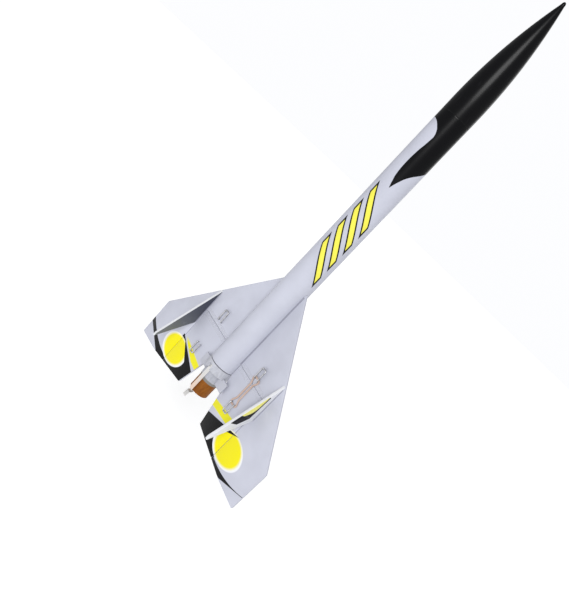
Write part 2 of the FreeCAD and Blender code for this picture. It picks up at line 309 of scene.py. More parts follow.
def round_over(bm, edges, width, segments):
    """Rounds the given edges over."""
    bmesh.ops.bevel(bm, geom=edges, offset=width, segments=segments, profile=0.5,
                    affect="EDGES", material=-1, clamp_overlap=True)


def soften(bm, width, segments=2, angle=35):
    """Rounds every edge where two faces meet at more than the given angle."""
    crisp = [e for e in bm.edges if e.is_manifold and e.calc_face_angle() > math.radians(angle)]
    round_over(bm, crisp, width, segments)


END_BAND = 0.6 * MM


def rolled(start, stop, count):
    """Evenly spaced heights of a long wall, with a narrow band at each end to keep its shading true."""
    evenly = [start + (stop - start) * i / count for i in range(count + 1)]
    return [start, start + END_BAND] + evenly[1:-1] + [stop - END_BAND, stop]


tube_wall = [(TUBE_R, z) for z in rolled(RIM, TUBE_TOP, 24)]
tube_wall += [(TUBE_R - PAPER, TUBE_TOP), (TUBE_R - PAPER, RIM)]
bm = turned(tube_wall)
soften(bm, 0.1 * MM)
body_tube = piece_of(bm, "body_tube_painted", sprayed("tube_paint", tube_films))
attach(body_tube, "airframe")
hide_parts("body_tube")

# ---------------------------------------------------------------- nose cone
# Blow-moulded black plastic, a long ogive with a shoulder that plugs into the tube. It is hollow,
# with a hole in its base through which a lump of modelling clay was pressed into the tip.
cone_low, cone_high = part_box("nose_cone")
CONE_WALL = 1.1 * MM
STRAIGHT = 10 * MM
SHARP_LENGTH = 96 * MM
TIP_R = 1.5 * MM
BASE_HOLE_R = 5 * MM


def moulded_black():
    """Glossy plastic with a faint mould seam down each side and handling scuffs."""
    plastic = Finish("nose_plastic", {
        "Specular IOR Level": 0.12, "Coat Weight": 0.05, "Coat Roughness": 0.2,
    })
    cloud = plastic.noise(60, 4)
    scuff = plastic.ramp(plastic.noise(700, 5, stretch=(1, 1, 0.12)), 0.60, 0.78)
    plastic.set("Base Color", plastic.blend(scuff * 0.25, BLACK, (0.03, 0.03, 0.035, 1)))
    plastic.set("Roughness", 0.24 + 0.10 * cloud + 0.12 * scuff)
    seam = plastic.ramp(plastic.y.math("ABSOLUTE"), 0.35, 0.05) * 1.2
    plastic.bump(seam + cloud * 0.4, 0.04 * MM, 0.35)
    return plastic.material


def ogive(base_r, base_z, sharp, tip_z, steps=40):
    """Points of a tangent ogive from its base to a small round tip."""
    curve_r = (base_r ** 2 + sharp ** 2) / (2 * base_r)
    points = []
    for i in range(steps + 1):
        drop = (base_r - TIP_R) * (i / steps) ** 2
        points.append((base_r - drop, base_z + math.sqrt(2 * curve_r * drop - drop ** 2)))
    last_z = points[-1][1]
    for i in range(1, 8):
        turn = math.radians(90 * i / 8)
        points.append((TIP_R * math.cos(turn) ** 0.8, last_z + (tip_z - last_z) * math.sin(turn)))
    return points + [(0, tip_z)]


SHOULDER_R = TUBE_R - PAPER - 0.02 * MM
cone_section = [(BASE_HOLE_R, cone_low.z), (SHOULDER_R, cone_low.z)]
cone_section += [(SHOULDER_R, TUBE_TOP), (TUBE_R, TUBE_TOP), (TUBE_R, TUBE_TOP + END_BAND)]
cone_section += ogive(TUBE_R, TUBE_TOP + STRAIGHT, SHARP_LENGTH, cone_high.z)
inner_wall = ogive(TUBE_R - CONE_WALL, TUBE_TOP + STRAIGHT, SHARP_LENGTH - 8 * MM, cone_high.z - 9 * MM)
cone_section += inner_wall[::-1]
cone_section += [(SHOULDER_R - CONE_WALL, TUBE_TOP), (SHOULDER_R - CONE_WALL, cone_low.z + CONE_WALL)]
cone_section += [(BASE_HOLE_R, cone_low.z + CONE_WALL)]
bm = turned(cone_section)
soften(bm, 0.15 * MM)
nose_cone = piece_of(bm, "nose_cone_moulded", moulded_black())
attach(nose_cone, "airframe")
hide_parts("nose_cone")


def pressed_clay(name, colour, lump=220):
    """Matt clay with thumbed lumps and grit."""
    clay = Finish(name)
    lumps = clay.noise(lump, 4)
    grit = clay.noise(2500, 2)
    pale = tuple(min(1, c * 1.35) for c in colour[:3]) + (1,)
    clay.set("Base Color", clay.blend(clay.ramp(lumps * 0.7 + grit * 0.3, 0.35, 0.65), colour, pale))
    clay.set("Roughness", 0.75 + 0.2 * grit)
    clay.bump(lumps + grit * 0.3, 0.3 * MM, 0.7)
    return clay.material


def refinish(node, material):
    """A CAD node whose shape is right keeps it and gets this material."""
    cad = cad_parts[node]
    cad.data.materials.clear()
    cad.data.materials.append(material)


refinish("nose_weight", pressed_clay("ballast_clay", (0.16, 0.12, 0.09, 1)))

# ---------------------------------------------------------------- wings and elevons
# Each wing is balsa sheet, sanded round at the leading edge, butt-glued to the tube and sprayed.
# Its inner trailing panel is cut free as the elevon. Printed films cover the trailing edges.
panel_low, panel_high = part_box("wing_right")
elevon_low, elevon_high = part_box("elevon_right")
WING_TOP = panel_low.y
SHEET = panel_high.y - panel_low.y
KINK = (72.6 * MM, RIM - 53.0 * MM)
INNER_AFT = (24.2 * MM, RIM - 45.4 * MM)
TIP_FRONT = (panel_high.x, RIM - 15.5 * MM)
TIP_AFT = (panel_high.x - 0.6 * MM, panel_low.z)
HINGE_AFT = elevon_high.z
HINGE_FRONT = HINGE_AFT + 0.3 * MM
PANEL_IN = elevon_high.x + 0.6 * MM
AFT_SLOPE = 0.157
LEADING_ROUND = 0.95 * MM
SANDED = 0.22 * MM


def wing_films(paint):
    """Black block, white-edged yellow oval, dark trailing stripe and yellow bar.

    Lengths are in millimetres, x out from the middle and z ahead of the tube's rim. The films do
    not lie quite alike, so some places shift with the side, which is 1 on the right, -1 on the left.
    """
    x = paint.x.math("ABSOLUTE")
    z = paint.z - RIM / MM
    side = paint.x.math("SIGN")
    wedge_top = (x - 20) * (0.335 - 0.02 * side) - 31.7 - 1.3 * side
    below_wedge = inside(paint, z - wedge_top)

    def ellipse(middle_z, half_x, half_z, scale):
        """About how far outside an ellipse a point is."""
        out = (x - 56.2 - 3.8 * side) / half_x
        ahead = (z - middle_z) / half_z
        return ((out * out + ahead * ahead).math("SQRT") - 1) * scale

    oval = ellipse(-34.0, 19, 13.3, 14)
    spot = ellipse(-33.6, 16.6, 12.4, 12)
    tip_x = 55.8 + 4.3 * side
    sliver = inside(paint, wedge_top - (tip_x - x) * (0.30 - 0.05 * side) - z) * (x < tip_x)
    block = inside(paint, oval * -1) * (x < 56)
    from_middle = x - 62 - 4 * side
    stripe_top = from_middle * from_middle * 0.0068 - 47.3 - 1.1 * side
    stripe_foot = ((x - 70 - 2 * side) * 0.4).max(0.0) - 52.4
    stripe = inside(paint, z - stripe_top) * inside(paint, stripe_foot - z) * (x > 44)
    black = (below_wedge * block.max(sliver)).max(stripe * inside(paint, oval * -1))
    bar_top = (x - 17) * 0.14 - 21.3
    bar_foot = ((x - 17) * 0.09 - 27).max(wedge_top + 1.4)
    bar = inside(paint, z - bar_top, 0.6) * inside(paint, bar_foot - z, 0.4) * paint.ramp(x, 53, 44)
    top_face = paint.y < WING_TOP / MM + 0.7
    films = [
        (inside(paint, oval, 0.5), (0.78, 0.79, 0.83, 1)),
        (paint.ramp(spot, 1.2, -1.4), YELLOW),
        (bar, (0.74, 0.70, 0.02, 1)),
        (black, BLACK),
    ]
    return [(share * top_face, colour) for share, colour in films]


wing_paint = sprayed("wing_paint", wing_films, grain=(1, 1, 0.07))


def slab(corners, push):
    """A flat outline of corners, thickened along a vector into a closed solid."""
    bm = bmesh.new()
    face = bm.faces.new([bm.verts.new(corner) for corner in corners])
    grown = bmesh.ops.extrude_face_region(bm, geom=[face])
    moved = [v for v in grown["geom"] if isinstance(v, bmesh.types.BMVert)]
    bmesh.ops.translate(bm, verts=moved, vec=push)
    bmesh.ops.recalc_face_normals(bm, faces=bm.faces)
    return bm


def is_leading(edge):
    """The two long edges of the swept leading edge."""
    a, b = (v.co for v in edge.verts)
    rise, out = abs(a.z - b.z), abs(a.x - b.x)
    return rise > 90 * MM and out > 60 * MM and abs(a.y - b.y) < 0.1 * MM


def aft_edge(x):
    """The point at x on the trailing edge inboard of its kink."""
    return (x, KINK[1] + (KINK[0] - x) * AFT_SLOPE)


panel_outline = [
    (TUBE_R - 0.05 * MM, panel_high.z),
    TIP_FRONT,
    TIP_AFT,
    KINK,
    aft_edge(PANEL_IN),
    (PANEL_IN, HINGE_FRONT),
    (TUBE_R - 0.05 * MM, HINGE_FRONT),
]
elevon_outline = [
    (elevon_low.x, HINGE_AFT),
    (elevon_high.x, HINGE_AFT),
    aft_edge(elevon_high.x),
    INNER_AFT,
    (elevon_low.x, RIM + 0.5 * MM),
]
for name, side in (("left", -1), ("right", 1)):
    bm = slab([(x * side, WING_TOP, z) for x, z in panel_outline], (0, SHEET, 0))
    round_over(bm, [e for e in bm.edges if is_leading(e)], LEADING_ROUND, 4)
    soften(bm, SANDED, angle=50)
    wing = piece_of(bm, "wing_panel_" + name, wing_paint)
    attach(wing, "airframe")
    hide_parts("wing_" + name)
    bm = slab([(x * side, WING_TOP, z) for x, z in elevon_outline], (0, SHEET, 0))
    soften(bm, SANDED, angle=50)
    elevon = piece_of(bm, "elevon_panel_" + name, wing_paint)
    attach(elevon, "elevon_" + name)
    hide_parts("elevon_" + name)

# ---------------------------------------------------------------- fins
# Two swept balsa fins stand on the wings just outside the elevons, glued along their roots. Each
# has a yellow and black flash on its outer face, and its inner face is coloured dark grey as painted
# shade.
fin_low, fin_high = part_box("fin_right")


def fin_films(paint):
    """Outer face: yellow over a black swoosh. Inner face: dark grey painted shade, paler towards the tip.
    """
    z = paint.z - RIM / MM
    y = paint.y
    off_centre = paint.x.math("ABSOLUTE") - (fin_low.x + fin_high.x) / 2 / MM
    on_face = off_centre.math("ABSOLUTE") > SHEET / 2 / MM - 0.12
    outer = (off_centre > 0) * on_face
    crest = z * 0.36 - 15.3
    swoosh = (z / -4.5).math("EXPONENT") * -6.2 - 4.8
    foot = ((z - 20) * 0.065 - 3.5).min((z + 2) * 0.833 - 5)
    ahead = inside(paint, 0.0 - z - 0.8)
    black_block = inside(paint, z + 0.8) * inside(paint, z * -1 - 10) * inside(paint, crest - y)
    black_tail = ahead * inside(paint, swoosh - y) * inside(paint, z - 21.5)
    black = black_block.max(black_tail) * inside(paint, y - foot)
    yellow = ahead * inside(paint, crest - y, 0.4) * inside(paint, y - swoosh, 0.3) * inside(paint, z - 22)
    # The inner face is coloured dark grey as painted shade, darker towards the front.
    painted_shade_share = (off_centre < 0) * on_face
    painted_shade_colour = paint.blend(paint.ramp(z, -25, 20), (0.16, 0.17, 0.18, 1), (0.062, 0.066, 0.092, 1))
    return [
        (yellow * outer, (0.78, 0.74, 0.20, 1)),
        (black * outer, BLACK),
        (painted_shade_share, painted_shade_colour),
    ]


fin_paint = sprayed("fin_paint", fin_films, grain=(1, 0.3, 0.07), base=(0.72, 0.73, 0.76, 1))
fin_outline = [
    (WING_TOP, RIM + 34.3 * MM),
    (fin_low.y, RIM - 27.2 * MM),
    (fin_low.y, RIM - 30.4 * MM),
    (WING_TOP, RIM - 3.8 * MM),
]
for name, side in (("left", -1), ("right", 1)):
    inner_face = [(fin_low.x * side, y, z) for y, z in fin_outline]
    bm = slab(inner_face, ((fin_high.x - fin_low.x) * side, 0, 0))
    soften(bm, 0.35 * MM, segments=3)
    fin = piece_of(bm, "fin_sheet_" + name, fin_paint)
    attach(fin, "airframe")
    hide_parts("fin_" + name)


# ---------------------------------------------------------------- glue fillets
# White glue is run along each joint and wiped with a fingertip, which leaves a small hollow
# fillet where a wing meets the tube and down both sides of each fin's root. The fillets are
# coloured dark grey as painted shade along the joints.
def glue_line(name, corner_x, outward, low_z, high_z, radius):
    """A hollow fillet in the corner that a wall at corner_x makes with the wing's top."""
    sunk = 0.08 * MM
    hollow = []
    for i in range(7):
        turn = math.radians(15 * i)
        hollow.append((radius * (1 - math.sin(turn)), radius * (1 - math.cos(turn))))
    outline = [(-sunk, -sunk), (radius, -sunk)] + hollow + [(-sunk, radius)]
    corners = [(corner_x + outward * x, WING_TOP - y, low_z) for x, y in outline]
    fillet = piece_of(slab(corners, (0, 0, high_z - low_z)), name, glue, 60)
    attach(fillet, "airframe")


# The glue's dark grey colour is painted shade along the joints, mottled at random.
glue_shade_finish = Finish("glue_painted_shade", {"Specular IOR Level": 0.3})
glue_wave = glue_shade_finish.noise(300, 3, stretch=(1, 1, 0.3))
glue_shade_finish.set("Base Color", glue_shade_finish.blend(glue_wave, (0.20, 0.20, 0.25, 1), (0.33, 0.34, 0.41, 1)))
glue_shade_finish.set("Roughness", 0.3 + 0.2 * glue_wave)
glue_shade_finish.bump(glue_wave, 0.15 * MM, 0.6)
glue = glue_shade_finish.material
for name, side in (("left", -1), ("right", 1)):
    root = TUBE_R - 0.02 * MM
    glue_line("wing_fillet_" + name, side * root, side, HINGE_FRONT, panel_high.z - 3 * MM, 0.9 * MM)
    for face, wall_x, out in (("outer", fin_high.x, side), ("inner", fin_low.x, -side)):
        foot = RIM - 2.5 * MM
        glue_line(f"fin_fillet_{face}_{name}", side * wall_x, out, foot, RIM + 31 * MM, 0.55 * MM)

# ---------------------------------------------------------------- band hooks
# Four staples of bright steel wire: two legs go down through the balsa and the raised bow points
# away from the band, one on each wing and one on each elevon.
WIRE_R = 0.65 * MM
HOOK_BEND = 0.95 * MM
LEG_IN_WOOD = 1.6 * MM


def swept(bm, ring, points, bend, steps=6):
    """Carries a ring of vertices along straight runs through the points, spun round each corner."""
    def carry(run):
        edges = {e for v in ring for e in v.link_edges if e.other_vert(v) in ring}
        grown = bmesh.ops.extrude_edge_only(bm, edges=list(edges))
        moved = {v for v in grown["geom"] if isinstance(v, bmesh.types.BMVert)}
        bmesh.ops.translate(bm, verts=list(moved), vec=run)
        return moved

    reached = points[0]
    for corner, after in zip(points[1:], points[2:]):
        into = (corner - reached).normalized()
        out = (after - corner).normalized()
        turn = into.angle(out)
        setback = bend * math.tan(turn / 2)
        ring = carry(corner - into * setback - reached)
        axis = into.cross(out).normalized()
        centre = corner - into * setback + axis.cross(into) * bend
        edges = [e for v in ring for e in v.link_edges if e.other_vert(v) in ring]
        spun = bmesh.ops.spin(bm, geom=list(set(edges)), axis=axis, cent=centre, angle=turn,
                              steps=steps, use_duplicate=False)
        ring = {v for v in spun["geom_last"] if isinstance(v, bmesh.types.BMVert)}
        reached = corner + out * setback
    return carry(points[-1] - reached)


def close_ends(bm):
    """Caps every open ring and points all faces outwards."""
    bmesh.ops.holes_fill(bm, edges=[e for e in bm.edges if e.is_boundary], sides=64)
    bmesh.ops.recalc_face_normals(bm, faces=bm.faces)


def drawn_wire():
    """Bright steel wire with fine draw marks and a little tarnish."""
    steel = Finish("hook_wire", {"Metallic": 1.0})
    tarnish = steel.noise(500, 4)
    marks = steel.noise(3000, 2, stretch=(1, 1, 0.1))
    dull = steel.ramp(tarnish, 0.45, 0.75)
    steel.set("Base Color", steel.blend(dull, (0.60, 0.60, 0.62, 1), (0.30, 0.30, 0.30, 1)))
    steel.set("Roughness", 0.2 + 0.2 * tarnish)
    steel.bump(marks, 0.03 * MM, 0.5)
    return steel.material


wire = drawn_wire()
for place in ("front_hook", "elevon_hook"):
    for name in ("left", "right"):
        node = f"{place}_{name}"
        low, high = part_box(node)
        leg_left, leg_right = low.x + WIRE_R, high.x - WIRE_R
        lift = low.y + WIRE_R
        leg_z, bow_z = low.z + WIRE_R, high.z - WIRE_R
        if place == "elevon_hook":
            leg_z, bow_z = bow_z, leg_z
        foot = high.y + LEG_IN_WOOD
        bm = bmesh.new()
        upright = Matrix.Translation((leg_left, foot, leg_z)) @ Matrix.Rotation(math.radians(90), 4, "X")
        circle = bmesh.ops.create_circle(bm, radius=WIRE_R, segments=16, matrix=upright)
        swept(bm, set(circle["verts"]), [
            Vector((leg_left, foot, leg_z)),
            Vector((leg_left, lift, leg_z)),
            Vector((leg_left, lift, bow_z)),
            Vector((leg_right, lift, bow_z)),
            Vector((leg_right, lift, leg_z)),
            Vector((leg_right, foot, leg_z)),
        ], HOOK_BEND)
        close_ends(bm)
        hook = piece_of(bm, "wire_" + node, wire, 50)
        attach(hook, "airframe" if place == "front_hook" else "elevon_" + name)
        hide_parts(node)

# ---------------------------------------------------------------- rubber band
# One tan rubber band is looped over the right-hand hooks under tension. Between them its two
# strands draw together, and it pulls the elevon up once the pod has gone.
band_low, band_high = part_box("rubber_band")
STRAND = 1.6 * MM
BAND_MIDDLE = Vector(((band_low.x + band_high.x) / 2, (band_low.y + band_high.y) / 2, 0))
BAND_HALF = (band_high.x - band_low.x - STRAND) / 2 + 0.15 * MM
BAND_CORNER = 1.5 * MM
WAIST_HALF = 1.5 * MM
DRAW_IN = 5.5 * MM


def tan_rubber():
    """Cut rubber strip: matt, dusty, faintly streaked along its length."""
    rubber = Finish("band_rubber", {"Specular IOR Level": 0.3})
    streak = rubber.noise(800, 3, stretch=(1, 1, 0.08))
    bloom = rubber.noise(120, 3)
    colour = rubber.blend(streak, (0.46, 0.32, 0.26, 1), (0.58, 0.44, 0.37, 1))
    rubber.set("Base Color", rubber.blend(rubber.ramp(bloom, 0.5, 0.8), colour, (0.62, 0.49, 0.42, 1)))
    rubber.set("Roughness", 0.55 + 0.3 * bloom)
    rubber.bump(streak, 0.08 * MM, 0.6)
    return rubber.material


bm = bmesh.new()
leg_foot, leg_top = band_low.z + STRAND / 2 + BAND_CORNER, band_high.z - STRAND / 2 - BAND_CORNER
start = BAND_MIDDLE + Vector((BAND_HALF, 0, leg_foot))
section = bmesh.ops.create_circle(bm, radius=STRAND / 2, segments=12, matrix=Matrix.Translation(start))
flatten = (band_high.y - band_low.y) / STRAND
bmesh.ops.scale(bm, verts=section["verts"], vec=(1, flatten, 1), space=Matrix.Translation(-start))
top_z, foot_z = band_high.z - STRAND / 2, band_low.z + STRAND / 2
corners = [(BAND_HALF, leg_foot), (BAND_HALF, top_z), (-BAND_HALF, top_z), (-BAND_HALF, foot_z)]
corners += [(BAND_HALF, foot_z), (BAND_HALF, leg_foot)]
swept(bm, set(section["verts"]), [BAND_MIDDLE + Vector((x, 0, z)) for x, z in corners], BAND_CORNER)
bmesh.ops.remove_doubles(bm, verts=bm.verts, dist=0.02 * MM)
strands = [e for e in bm.edges if abs(e.verts[0].co.z - e.verts[1].co.z) > 10 * MM]
bmesh.ops.subdivide_edges(bm, edges=strands, cuts=24, use_grid_fill=True)
for v in bm.verts:
    inward = min(v.co.z - leg_foot, leg_top - v.co.z) / DRAW_IN
    share = max(0.0, min(1.0, inward))
    share = share * share * (3 - 2 * share)
    strand_side = 1 if v.co.x > BAND_MIDDLE.x else -1
    v.co.x -= strand_side * share * (BAND_HALF - WAIST_HALF)
bmesh.ops.recalc_face_normals(bm, faces=bm.faces)
band = piece_of(bm, "elevon_band", tan_rubber(), 50)
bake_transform(band)
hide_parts("rubber_band")


# ---------------------------------------------------------------- tape hinges
# A strip of clear tape lies across each elevon's joint and is the whole hinge. Its ends are
# pinked by scissors.
def clear_film():
    """Thin clear tape, cloudy where it has not stuck down."""
    film = Finish("hinge_film", {"Specular IOR Level": 0.4, "Alpha": 0.05})
    cloud = film.noise(120, 2)
    film.set("Base Color", film.blend(cloud, (0.60, 0.61, 0.66, 1), (0.74, 0.74, 0.76, 1)))
    film.set("Roughness", 0.2 + 0.2 * cloud)
    film.bump(cloud, 0.05 * MM, 0.2)
    return film.material


tape_film = clear_film()
TAPE_ROWS = 16
PINKED = 0.35 * MM
for name in ("left", "right"):
    low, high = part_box("hinge_tape_" + name)
    bm = bmesh.new()
    bmesh.ops.create_grid(bm, x_segments=40, y_segments=TAPE_ROWS, size=0.5)
    bmesh.ops.rotate(bm, verts=bm.verts, matrix=Matrix.Rotation(math.radians(90), 3, "X"))
    bmesh.ops.scale(bm, verts=bm.verts, vec=(high.x - low.x, 1, high.z - low.z))
    bmesh.ops.translate(bm, verts=bm.verts, vec=((low.x + high.x) / 2, low.y, (low.z + high.z) / 2))
    for v in bm.verts:
        at_end = min(v.co.x - low.x, high.x - v.co.x) < 1e-6
        row = round((v.co.z - low.z) / (high.z - low.z) * TAPE_ROWS)
        if at_end and row % 2:
            v.co.x += PINKED if v.co.x < (low.x + high.x) / 2 else -PINKED
    grown = bmesh.ops.extrude_face_region(bm, geom=bm.faces[:])
    moved = [v for v in grown["geom"] if isinstance(v, bmesh.types.BMVert)]
    bmesh.ops.translate(bm, verts=moved, vec=(0, high.y - low.y - 0.01 * MM, 0))
    bmesh.ops.recalc_face_normals(bm, faces=bm.faces)
    tape = piece_of(bm, "hinge_strip_" + name, tape_film, 40)
    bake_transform(tape)
    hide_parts("hinge_tape_" + name)

# ---------------------------------------------------------------- launch lug
# A short paper straw glued along the underside. It slides on the launch rod.
lug_low, lug_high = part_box("launch_lug")
LUG_R = (lug_high.x - lug_low.x) / 2
LUG_BORE_R = 2.0 * MM
LUG_Y = lug_high.y - LUG_R
bm = turned([
    (LUG_R, lug_low.z), (LUG_R, lug_high.z), (LUG_BORE_R, lug_high.z), (LUG_BORE_R, lug_low.z),
], steps=48)
bmesh.ops.translate(bm, verts=bm.verts, vec=(0, LUG_Y, 0))
soften(bm, 0.08 * MM)
lug = piece_of(bm, "lug_straw", sprayed("lug_paint"))
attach(lug, "airframe")
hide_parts("launch_lug")

LUG_GLUE_HALF = 1.4 * MM
GLUE_HOLLOW_R = 0.55 * MM
GLUE_Y = LUG_Y - LUG_R * 0.72
GLUE_SHORT = 0.6 * MM
glue_section = []
for i in range(9):
    turn = math.radians(-90 + 22.5 * i)
    glue_x = LUG_GLUE_HALF - GLUE_HOLLOW_R * math.cos(turn)
    glue_section.append((glue_x, GLUE_Y + GLUE_HOLLOW_R * math.sin(turn)))
glue_section += [(-x, y) for x, y in reversed(glue_section)]
glue_foot = [(x, y, lug_low.z + GLUE_SHORT) for x, y in glue_section]
bm = slab(glue_foot, (0, 0, lug_high.z - lug_low.z - 2 * GLUE_SHORT))
# The lug's glue line shares the dark grey painted shade of the fillets.
lug_glue = piece_of(bm, "lug_glue", glue, 60)
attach(lug_glue, "airframe")

# ---------------------------------------------------------------- engine tube and collar
# The pod is a white paper tube. A wound card collar butts against the glider's rim, and two card
# rings, plain and glued on, run inside the body tube.
ENGINE_WALL = 0.42 * MM
engine_low, engine_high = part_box("engine_tube")
collar_low, collar_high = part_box("pod_collar")
ENGINE_R = engine_high.x
NOTCH_FRONT = RIM - 2.9 * MM
NOTCH_HALF = 2.4 * MM


def wound_card(name, colour, darker, spiral=14.0, roughness=0.5):
    """Paper wound on a mandrel: a spiral seam, fibres and bare layered ends."""
    card = Finish(name, {"Specular IOR Level": 0.15})
    turn = card.x.math("ARCTAN2", card.y) / (2 * math.pi)
    seam_phase = (card.z / spiral + turn).math("FRACT")
    seam = card.ramp((seam_phase - 0.5).math("ABSOLUTE"), 0.02, 0.006)
    fibre = card.noise(700, 5, stretch=(1, 1, 0.35))
    mottle = card.noise(90, 3)
    radius = (card.x * card.x + card.y * card.y).math("SQRT")
    layers = (radius * 5.5).math("FRACT")
    tone = card.blend(card.ramp(fibre * 0.6 + mottle * 0.4, 0.35, 0.65), colour, darker)
    card.set("Base Color", card.blend(seam * 0.35, tone, darker))
    card.set("Roughness", roughness + 0.25 * fibre)
    card.bump(fibre * 0.5 + layers * 0.25 - seam, 0.06 * MM, 0.6)
    return card.material


# The pod tube's white card is coloured darker grey than the collar's: painted shade.
POD_CARD_PAINTED_SHADE = (0.43, 0.44, 0.49, 1)
POD_CARD_DARKER_SHADE = (0.34, 0.35, 0.40, 1)
card = wound_card("pod_card_painted_shade", POD_CARD_PAINTED_SHADE, POD_CARD_DARKER_SHADE)
tube_wall = [(ENGINE_R, z) for z in rolled(engine_low.z, engine_high.z, 12)]
tube_wall += [(ENGINE_R - ENGINE_WALL, engine_high.z), (ENGINE_R - ENGINE_WALL, engine_low.z)]
bm = turned(tube_wall, steps=96)
soften(bm, 0.1 * MM)
engine_tube = piece_of(bm, "pod_tube", card)
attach(engine_tube, "motor_pod")
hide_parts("engine_tube")


def sector(bm, section, middle, half_turn, steps):
    """Part of a ring: a closed section spun about the tube, capped at both ends."""
    corners = [bm.verts.new((r, 0, z)) for r, z in section]
    face = bm.faces.new(corners)
    bmesh.ops.rotate(bm, verts=corners, matrix=Matrix.Rotation(middle - half_turn, 3, "Z"))
    bmesh.ops.spin(bm, geom=[face] + face.edges[:] + corners, axis=(0, 0, 1), cent=(0, 0, 0),
                   angle=half_turn * 2, steps=steps, use_merge=False)
    bmesh.ops.remove_doubles(bm, verts=bm.verts, dist=1e-6)


COLLAR_R = collar_high.x
CLIP_ROOM = 0.8 * MM
notch_turn = math.asin(NOTCH_HALF / COLLAR_R)
bm = bmesh.new()
for inner_r, aft_z, middle, half_turn, steps in (
    (ENGINE_R, collar_low.z, math.pi / 2, math.pi - notch_turn, 92),
    (ENGINE_R + CLIP_ROOM, NOTCH_FRONT, -math.pi / 2, notch_turn + 0.002, 6),
):
    section = [(inner_r, aft_z), (COLLAR_R, aft_z), (COLLAR_R, collar_high.z), (inner_r, collar_high.z)]
    sector(bm, section, middle, half_turn, steps)
bmesh.ops.recalc_face_normals(bm, faces=bm.faces)
soften(bm, 0.22 * MM, segments=3)
collar_paper = wound_card("collar_paper", (0.52, 0.53, 0.585, 1), (0.42, 0.43, 0.48, 1))
collar = piece_of(bm, "pod_collar_wound", collar_paper)
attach(collar, "motor_pod")
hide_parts("pod_collar")

tan_card = wound_card("ring_card_tan", (0.40, 0.27, 0.15, 1), (0.30, 0.19, 0.10, 1), spiral=9)
for node in ("rear_ring", "front_ring", "thrust_ring"):
    refinish(node, tan_card)

# ---------------------------------------------------------------- hold-down tabs
# Two painted balsa tabs glued to the pod's sides lie over the elevons and hold them flat in the
# climb.
tab_paint = sprayed("tab_paint", grain=(1, 1, 0.12), base=(0.47, 0.48, 0.54, 1))
for name, side in (("left", -1), ("right", 1)):
    low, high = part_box("hold_down_tab_" + name)
    reach = max(abs(low.x), abs(high.x))
    step_x, step_z = COLLAR_R + 0.03 * MM, collar_low.z - 0.05 * MM
    foot_x = ENGINE_R - 0.15 * MM
    outline = [(foot_x, low.z), (reach, low.z), (reach, high.z)]
    outline += [(step_x, high.z), (step_x, step_z), (foot_x, step_z)]
    bm = slab([(x * side, low.y, z) for x, z in outline], (0, high.y - low.y, 0))
    soften(bm, 0.25 * MM, segments=3)
    tab = piece_of(bm, "balsa_tab_" + name, tab_paint)
    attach(tab, "motor_pod")
    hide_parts("hold_down_tab_" + name)

# ---------------------------------------------------------------- motor clip
# One strip of spring steel: its front leg goes in ahead of the motor, it passes under the collar,
# and a folded hook behind the casing keeps the motor in. The free end is a finger tab.
clip_low, clip_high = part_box("motor_clip")
finger_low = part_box("motor_clip_finger")[0]
CLIP_WIDTH = clip_high.x - clip_low.x
CLIP_THICK = 0.5 * MM
CLIP_Y = -ENGINE_R - CLIP_THICK / 2


def spring_steel():
    """Bright rolled strip, lengthwise grain, straw-coloured at the hot end."""
    steel = Finish("clip_steel", {"Metallic": 1.0})
    grain = steel.noise(1500, 3, stretch=(1, 1, 0.03))
    stain = steel.noise(150, 3)
    bright = steel.blend(grain, (0.80, 0.79, 0.78, 1), (0.62, 0.61, 0.60, 1))
    heat = steel.ramp(steel.z + stain * 8, 22, 8) * steel.ramp(steel.z, -2, 2) * 0.7
    steel.set("Base Color", steel.blend(heat, bright, (0.82, 0.60, 0.45, 1)))
    steel.set("Roughness", 0.22 + 0.18 * grain)
    steel.bump(grain, 0.02 * MM, 0.5)
    return steel.material


hook_z = -0.65 * MM
fold_z = hook_z - 1.5 * MM
hook_in = CLIP_Y + 3.1 * MM
path = [
    (clip_high.y, clip_high.z - CLIP_THICK / 2),
    (CLIP_Y, clip_high.z - CLIP_THICK / 2),
    (CLIP_Y, hook_z),
    (hook_in, hook_z),
    (hook_in, fold_z),
    (CLIP_Y + 0.2 * MM, fold_z - 0.7 * MM),
    (finger_low.y + CLIP_THICK / 2, finger_low.z + 0.05 * MM),
]
bm = bmesh.new()
edge_round = 0.12 * MM
half_x, half_t = CLIP_WIDTH / 2, CLIP_THICK / 2
rim = [(half_x - edge_round, half_t), (half_x, half_t - edge_round), (half_x, edge_round - half_t)]
rim += [(half_x - edge_round, -half_t)]
rim += [(-x, t) for x, t in reversed(rim)]
ring = [bm.verts.new((x, path[0][0], path[0][1] + t)) for x, t in rim]
for first, second in zip(ring, ring[1:] + ring[:1]):
    bm.edges.new((first, second))
swept(bm, set(ring), [Vector((0, y, z)) for y, z in path], 0.5 * MM)
long_runs = [e for e in bm.edges if e.calc_length() > 10 * MM]
bmesh.ops.subdivide_edges(bm, edges=long_runs, cuts=30, use_grid_fill=True)
close_ends(bm)
clip = piece_of(bm, "motor_clip_strip", spring_steel(), 40)
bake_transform(clip)
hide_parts("motor_clip", "motor_clip_finger")

# ---------------------------------------------------------------- motor
# A wound kraft-paper case, pressed with a clay nozzle, black propellant, delay and ejection
# powder under a clay cap. A wrap of masking tape makes it a tight fit in the engine tube.
case_low, case_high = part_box("motor_casing")
nozzle_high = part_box("motor_nozzle")[1]
CASE_R = case_high.x
BORE_R = nozzle_high.x
THROAT_R = 1.6 * MM
case_wall = [(CASE_R, z) for z in rolled(case_low.z, case_high.z, 10)]
case_wall += [(BORE_R, case_high.z), (BORE_R, case_low.z)]
bm = turned(case_wall, steps=96)
soften(bm, 0.25 * MM, segments=3)
kraft = wound_card("kraft_case", (0.27, 0.092, 0.010, 1), (0.18, 0.055, 0.005, 1), 24, 0.4)
casing = piece_of(bm, "motor_case", kraft)
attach(casing, "motor_pod")
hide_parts("motor_casing")

